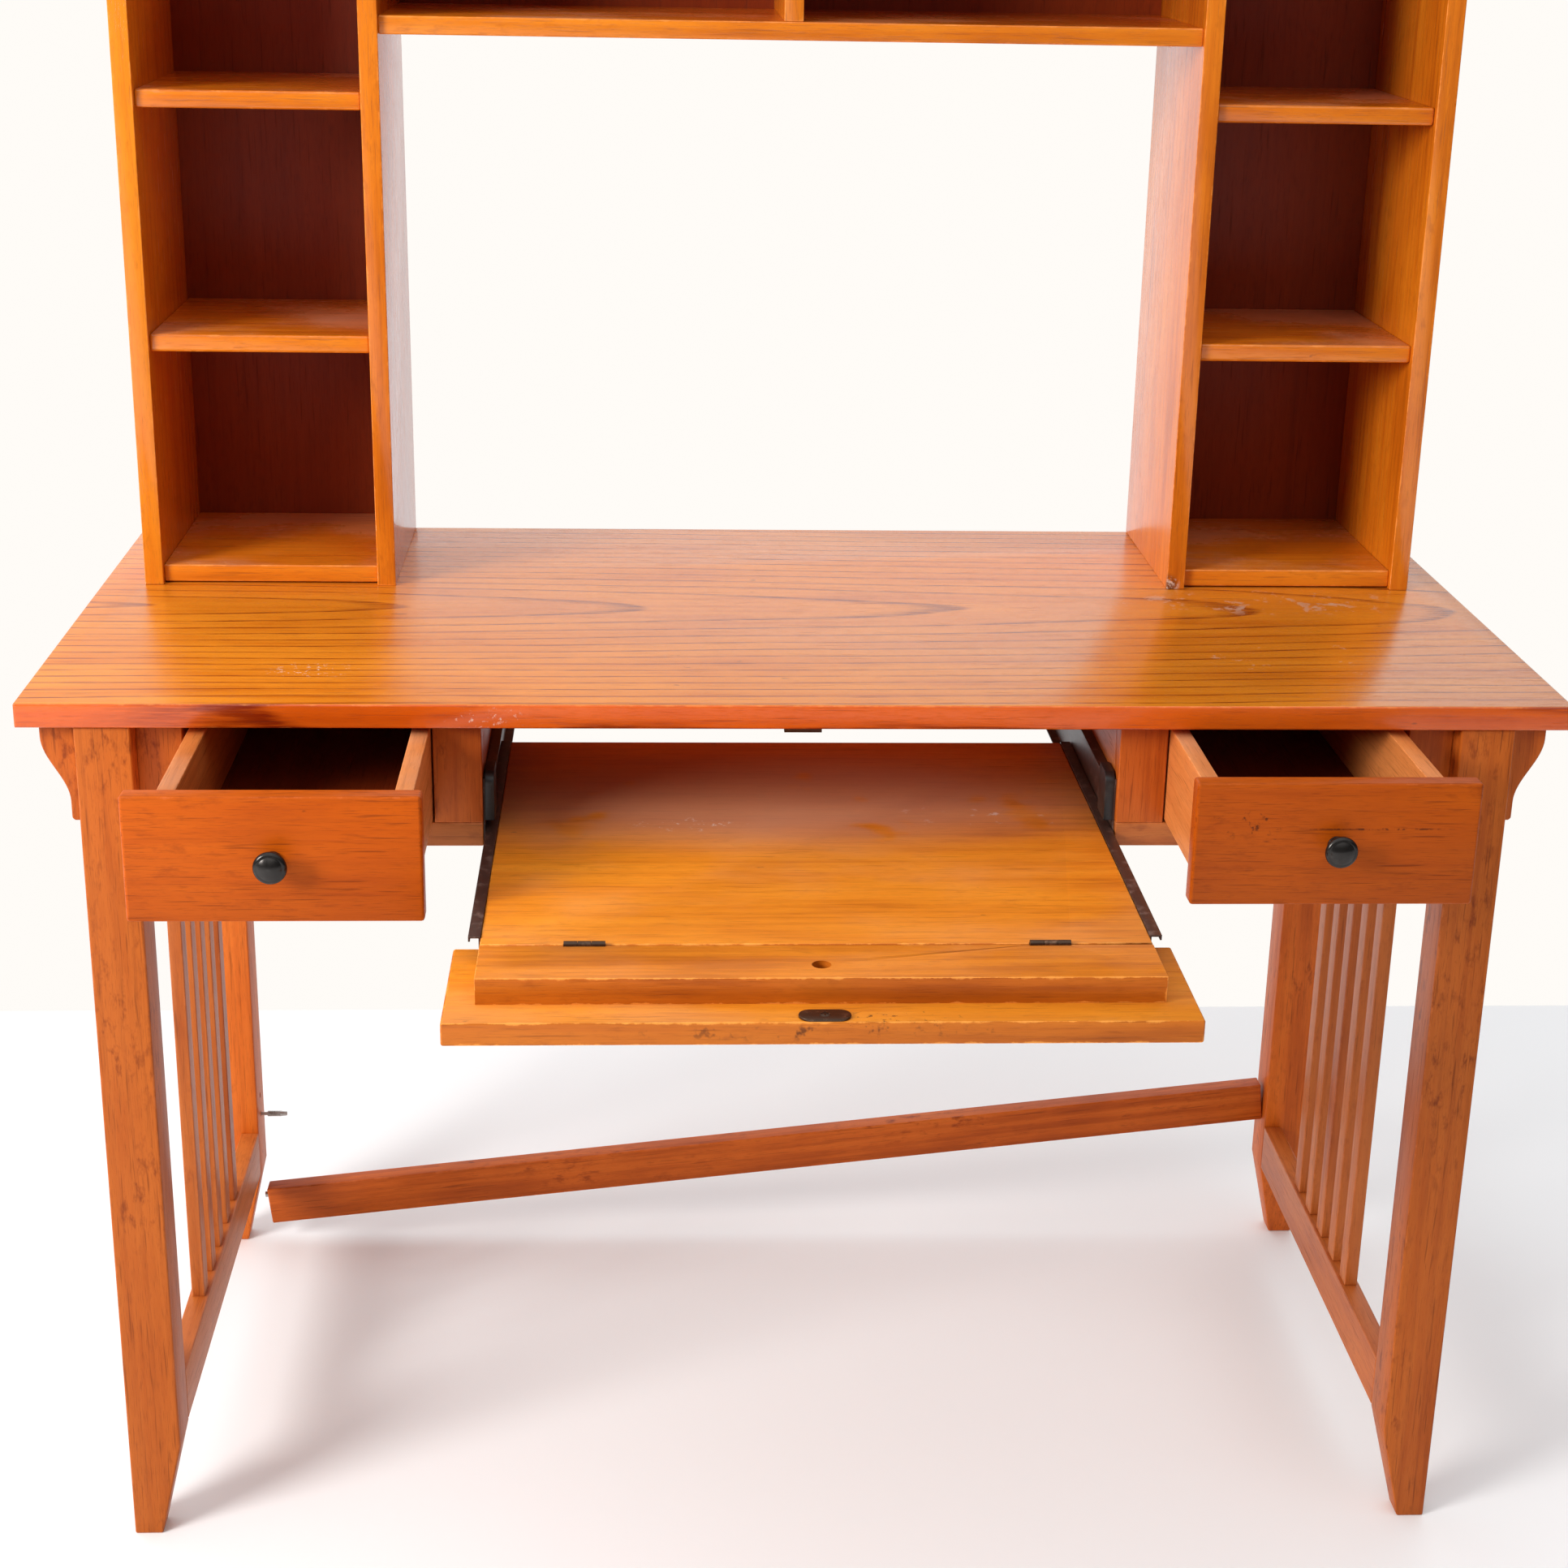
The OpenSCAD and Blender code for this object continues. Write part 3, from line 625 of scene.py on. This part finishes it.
def show(shown, name):
    """Puts a finished piece in place of its CAD node, on the same body and with the same material slot."""
    slot = nodes[name].data.materials[0].name
    shown.data.materials.clear()
    shown.data.materials.append(materials[slot])
    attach(shown, nodes[name]["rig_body"])
    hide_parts(name)


def board(name, axis, radius=1.0, shortest=4.0, turn=None, stain_and_painted_shading=1.0):
    """Shows a wooden node with edges eased by radius in millimetres and its grain along an axis."""
    shown = eased_copy(nodes[name], radius * MM, shortest * MM)
    grain_attributes(shown, "xyz".index(axis), draw, turn or Matrix.Identity(3), stain_and_painted_shading)
    show(shown, name)
    return shown


draw = random.Random(20)
SIDES = ("left", "right")

board("desktop", "x", radius=2.0)
# Painted shading: the front legs are made darker and the back legs lighter for how light falls on them.
for side in SIDES:
    board(f"leg_front_{side}", "z", radius=1.8, stain_and_painted_shading=0.86)
    board(f"leg_back_{side}", "z", radius=1.8, stain_and_painted_shading=1.3)
board("corbels", "z", radius=1.2, shortest=0.0)
for name in ("side_top_rails", "side_bottom_rail_left", "side_bottom_rail_right"):
    board(name, "y", radius=1.2)
board("back_apron", "x")
# Painted shade: the posts and the rails under the drawers are made darker where they sit in shade.
board("drawer_posts", "z", stain_and_painted_shading=0.95)
board("drawer_rails", "x", stain_and_painted_shading=0.75)
board("drawer_runners", "y")
# Painted light: the stretcher at the back is made lighter.
board("stretcher", "x", radius=1.5, turn=Matrix.Rotation(-STRETCHER_DROOP, 3, "Y"), stain_and_painted_shading=1.15)

for side in SIDES:
    board(f"side_slats_{side}", "z", radius=1.2)
    board(f"divider_panel_{side}", "y")
    board(f"hutch_outer_side_{side}", "z", radius=0.8)
    board(f"hutch_inner_side_{side}", "z", radius=0.8)
    board(f"hutch_base_{side}", "x", radius=1.5)
    board(f"hutch_lower_shelf_{side}", "x", radius=2.5)
    board(f"hutch_upper_shelf_{side}", "x", radius=2.5)
    board(f"drawer_{side}_front", "x", radius=2.5, stain_and_painted_shading=1.05 if side == "left" else 0.88)
    board(f"drawer_{side}_sides", "y", radius=0.8)
    board(f"drawer_{side}_back", "x", radius=0.8)
    board(f"drawer_{side}_bottom", "y", radius=0.3)

board("hutch_middle_shelf", "x", radius=1.5)
board("hutch_middle_divider", "z", radius=0.8)
board("hutch_top", "x", radius=2.0)
board("hutch_tower_backs", "z", radius=0.3)
board("hutch_middle_back", "z", radius=0.3)
board("tray_board", "x", radius=1.2, shortest=60.0)
board("flap_panel", "x", radius=1.5)
board("flap_batten", "x", radius=1.5, shortest=15.0)


# ---------------------------------------------------------------- hardware


def lathe(bm, profile, start, direction, segments=40):
    """Adds a solid of revolution to a bmesh.

    profile is (distance from start, radius) pairs that begin and end on the axis.
    """
    turn = direction.to_track_quat("Z", "Y").to_matrix()
    rings = []
    for distance, radius in profile:
        count = segments if radius else 1
        ring = []
        for i in range(count):
            angle = math.tau * i / count
            spot = Vector((radius * math.cos(angle), radius * math.sin(angle), distance))
            ring.append(bm.verts.new(start + turn @ spot))
        rings.append(ring)
    for one, two in zip(rings, rings[1:]):
        for i in range(segments):
            j = i + 1
            corners = [one[i % len(one)], one[j % len(one)], two[j % len(two)], two[i % len(two)]]
            bm.faces.new(list(dict.fromkeys(corners)))


def smooth_mesh(bm, name):
    """Turns a bmesh into an object that is smooth except along its sharp edges."""
    bmesh.ops.recalc_face_normals(bm, faces=bm.faces)
    for face in bm.faces:
        face.smooth = True
    for edge in bm.edges:
        edge.smooth = edge.calc_face_angle(0.0) < SHARP_ANGLE
    mesh = bpy.data.meshes.new(name)
    bm.to_mesh(mesh)
    bm.free()
    made = bpy.data.objects.new(name, mesh)
    bpy.context.scene.collection.objects.link(made)
    return made


def node_box(name):
    """The low and the high corner of a CAD node's box."""
    points = [nodes[name].matrix_world @ vertex.co for vertex in nodes[name].data.vertices]
    return (Vector(pick(point[i] for point in points) for i in range(3)) for pick in (min, max))


SCREW_R = 4.2 * MM
SCREW_DOME = 1.1 * MM
SLOT_R = 0.75 * SCREW_R
SLOT_HALF = 0.7 * MM
SLOT_FLOOR = 0.1          # the slot's floor, as a share of the dome's height
SCREW_FOOT = 0.2 * MM     # from the plate's underside up to the head's
SCREW_STEPS = 24          # squares from the head's middle to its edge


def add_screw_head(bm, middle, bottom):
    """Adds a closed screw head with a cross slot. It is a dome of small squares on the plate's face."""
    around = ((0, 0), (1, 0), (1, 1), (0, 1))
    beyond = ((0, -1), (1, 0), (0, 1), (-1, 0))
    span = range(-SCREW_STEPS, SCREW_STEPS)
    squares = {
        (i, j): [(i + across, j + up) for across, up in around]
        for i in span
        for j in span
        if all(math.hypot(i + across, j + up) <= SCREW_STEPS for across, up in around)
    }
    top = {}
    under = {}
    for spot in dict.fromkeys(corner for corners in squares.values() for corner in corners):
        x, y = (SCREW_R * steps / SCREW_STEPS for steps in spot)
        radius = math.hypot(x, y)
        in_slot = radius < SLOT_R and min(abs(x), abs(y)) < SLOT_HALF
        height = SCREW_DOME * (1 - (radius / SCREW_R) ** 2) * (SLOT_FLOOR if in_slot else 1.0)
        top[spot] = bm.verts.new(middle + Vector((x, y, height)))
        under[spot] = bm.verts.new((middle.x + x, middle.y + y, bottom))
    for (i, j), corners in squares.items():
        bm.faces.new([top[corner] for corner in corners])
        bm.faces.new([under[corner] for corner in reversed(corners)])
        for (across, up), one, two in zip(beyond, corners, corners[1:] + corners[:1]):
            if (i + across, j + up) not in squares:
                bm.faces.new([top[one], under[one], under[two], top[two]])


def show_strike_plate():
    """The plate on the tray's front, with a cross-head screw in its middle."""
    shown = eased_copy(nodes["strike_plate"], 0.4 * MM, 0.0)
    low, high = node_box("strike_plate")
    middle = Vector(((low.x + high.x) / 2, (low.y + high.y) / 2, high.z))
    bm = bmesh.new()
    bm.from_mesh(shown.data)
    add_screw_head(bm, middle, low.z + SCREW_FOOT)
    bm.to_mesh(shown.data)
    bm.free()
    show(shown, "strike_plate")


BOLT_HEAD = 4.0 * MM
BOLT_HEAD_PROFILE = ((0.0, 0.0), (0.0, 4.5 * MM), (0.7 * MM, 5.7 * MM), (BOLT_HEAD, 6.0 * MM))
SHANK_R = 1.8 * MM
THREAD_ROOT_R = 2.6 * MM
THREAD_R = 3.0 * MM
THREAD_PITCH = 1.25 * MM
BARE_SHARE = 0.26         # of the length beyond the leg, the share that is bare shank
TIP_SHARE = 0.2           # and the share that is the tip
TIP_END = ((0.5 * MM, 2.2 * MM), (0.0, 1.6 * MM), (0.0, 0.0))  # (distance from the end, radius)
LOOSE_LENGTH = 27.0 * MM  # how far the left bolt stands out of its leg
HELD_LENGTH = 10.0 * MM   # how far the right one reaches into the stretcher


def show_bolts():
    """The stretcher's bolts: a domed head, and beyond the leg a shank, a thread and a tip."""
    low, high = node_box("stretcher_bolts")
    leg_low, leg_high = node_box("leg_back_left")
    leg_inside = BOLT_HEAD + leg_high.x - leg_low.x
    bm = bmesh.new()
    for outer, inward, free in ((low.x, 1.0, LOOSE_LENGTH), (high.x, -1.0, HELD_LENGTH)):
        bare = BARE_SHARE * free
        tip = TIP_SHARE * free
        end = leg_inside + free
        profile = [*BOLT_HEAD_PROFILE, (BOLT_HEAD, SHANK_R), (leg_inside + bare, SHANK_R)]
        for i in range(int((free - bare - tip) / THREAD_PITCH)):
            turn = leg_inside + bare + i * THREAD_PITCH
            profile.append((turn, THREAD_ROOT_R))
            profile.append((turn + 0.35 * THREAD_PITCH, THREAD_R))
            profile.append((turn + 0.7 * THREAD_PITCH, THREAD_R))
        profile.append((end - tip, THREAD_ROOT_R))
        profile += [(end - back, radius) for back, radius in TIP_END]
        start = Vector((outer, (low.y + high.y) / 2, (low.z + high.z) / 2))
        lathe(bm, profile, start, Vector((inward, 0.0, 0.0)))
    show(smooth_mesh(bm, "stretcher_bolts_shown"), "stretcher_bolts")


KNOBS = ("drawer_left_knob", "drawer_right_knob", "flap_knob")
FITTINGS = (
    "tray_slides",
    "tray_channels",
    "slide_stops",
    "magnetic_catch",
    "tray_hinge_leaves",
    "flap_hinge_leaves",
)

show_strike_plate()
show_bolts()
for name in KNOBS:
    show(eased_copy(nodes[name], 0.3 * MM, 0.0), name)
for name in FITTINGS:
    show(eased_copy(nodes[name], 0.25 * MM, 0.5 * MM), name)

for node in nodes.values():
    if not node.hide_render:
        slot = node.data.materials[0].name
        node.data.materials[0] = materials[slot]


# ---------------------------------------------------------------- studio

FLOOR_FRONT = -6.0
FLOOR_BACK = 0.96
FLOOR_SIDE = 6.0
FLOOR_COLOURS = ((0.88, 0.89, 0.90), (0.92, 0.93, 0.94))

CEILING_LIGHT = 1.32
WALL_LIGHT = 1.08
ROOM_LIGHT = 0.14
RIGHT_SHARE = 0.35
LIT_COLOUR = (0.98, 0.99, 1.0, 1.0)
SEEN_COLOUR = (1.0, 0.97, 0.93, 1.0)

KEY_TARGET = Vector((0.0, 0.0, 0.75))
KEY_TRAVEL = Vector((0.77, 0.53, -0.36)).normalized()
KEY_DISTANCE = 3.2
KEY_SIZE = 1.2
KEY_POWER = 92.0
KEY_COLOUR = (1.0, 0.98, 0.95)

CAMERA_PLACE = (-0.1220, -2.0639, 1.3851)
CAMERA_ANGLES = (-3.15, 19.62, -1.10)   # yaw, pitch and roll in degrees
CAMERA_LENS = 59.41
CAMERA_SENSOR = 36.0
CAMERA_REACH = 100.0


def studio_floor():
    """A pale painted floor that ends where a wall would stand."""
    bm = bmesh.new()
    corners = (
        (-FLOOR_SIDE, FLOOR_FRONT, 0.0),
        (FLOOR_SIDE, FLOOR_FRONT, 0.0),
        (FLOOR_SIDE, FLOOR_BACK, 0.0),
        (-FLOOR_SIDE, FLOOR_BACK, 0.0),
    )
    bm.faces.new([bm.verts.new(corner) for corner in corners])
    mesh = bpy.data.meshes.new("studio_floor")
    bm.to_mesh(mesh)
    bm.free()
    floor = bpy.data.objects.new("studio_floor", mesh)
    bpy.context.scene.collection.objects.link(floor)
    g = MaterialGraph("floor_paint")
    place = g.add("ShaderNodeTexCoord").outputs["Object"]
    cloud = g.noise(g.vector("MULTIPLY", place, (2.5, 2.5, 2.5)), 1.0, 4.0)
    g.surface(
        Base_Color=g.mix(cloud, *FLOOR_COLOURS),
        Roughness=g.math("MULTIPLY_ADD", cloud, 0.2, 0.45),
    )
    mesh.materials.append(g.material)


def studio_world():
    """A bright ceiling and far wall, dimmer on the right, and a dim room behind the camera.

    The camera itself sees plain pale wall.
    """
    world = bpy.data.worlds.new("studio")
    world.use_nodes = True
    bpy.context.scene.world = world
    g = Graph(world.node_tree)

    def background(colour, strength):
        node = g.add("ShaderNodeBackground")
        g.feed(node.inputs["Color"], colour)
        g.feed(node.inputs["Strength"], strength)
        return node.outputs[0]

    right, back, up = g.split(g.add("ShaderNodeTexCoord").outputs["Generated"])
    ceiling = g.step(up, 0.15, 0.75, 0.0, CEILING_LIGHT)
    wall = g.step(back, -0.10, 0.35, ROOM_LIGHT, WALL_LIGHT)
    share = g.step(right, 0.1, 0.9, 1.0, RIGHT_SHARE)
    strength = g.math("MULTIPLY", g.math("MAXIMUM", ceiling, wall), share)
    either = g.add("ShaderNodeMixShader")
    g.feed(either.inputs[0], g.add("ShaderNodeLightPath").outputs["Is Camera Ray"])
    g.feed(either.inputs[1], background(LIT_COLOUR, strength))
    g.feed(either.inputs[2], background(SEEN_COLOUR, 1.0))
    g.feed(g.add("ShaderNodeOutputWorld").inputs["Surface"], either.outputs[0])


def studio_key():
    """One soft lamp from the front left, a little above the object."""
    light = bpy.data.lights.new("key", "AREA")
    light.shape = "DISK"
    light.size = KEY_SIZE
    light.energy = KEY_POWER
    light.color = KEY_COLOUR
    lamp = bpy.data.objects.new("key", light)
    lamp.location = KEY_TARGET - KEY_TRAVEL * KEY_DISTANCE
    lamp.rotation_euler = KEY_TRAVEL.to_track_quat("-Z", "Y").to_euler()
    bpy.context.scene.collection.objects.link(lamp)


def studio_camera():
    """The camera of the photograph: its place, its turn, pitch and roll, and its lens."""
    yaw, pitch, roll = (math.radians(angle) for angle in CAMERA_ANGLES)
    turn = Matrix.Rotation(yaw, 3, "Z") @ Matrix.Rotation(-pitch, 3, "X") @ Matrix.Rotation(roll, 3, "Y")
    look_along_y = Matrix.Rotation(math.radians(90), 3, "X")
    camera = bpy.data.cameras.new("camera")
    camera.sensor_width = CAMERA_SENSOR
    camera.lens = CAMERA_LENS
    camera.clip_end = CAMERA_REACH
    holder = bpy.data.objects.new("camera", camera)
    holder.matrix_world = Matrix.Translation(CAMERA_PLACE) @ (turn @ look_along_y).to_4x4()
    bpy.context.scene.collection.objects.link(holder)
    bpy.context.scene.camera = holder


studio_floor()
studio_world()
studio_key()
studio_camera()
bpy.context.scene.view_settings.view_transform = "Standard"
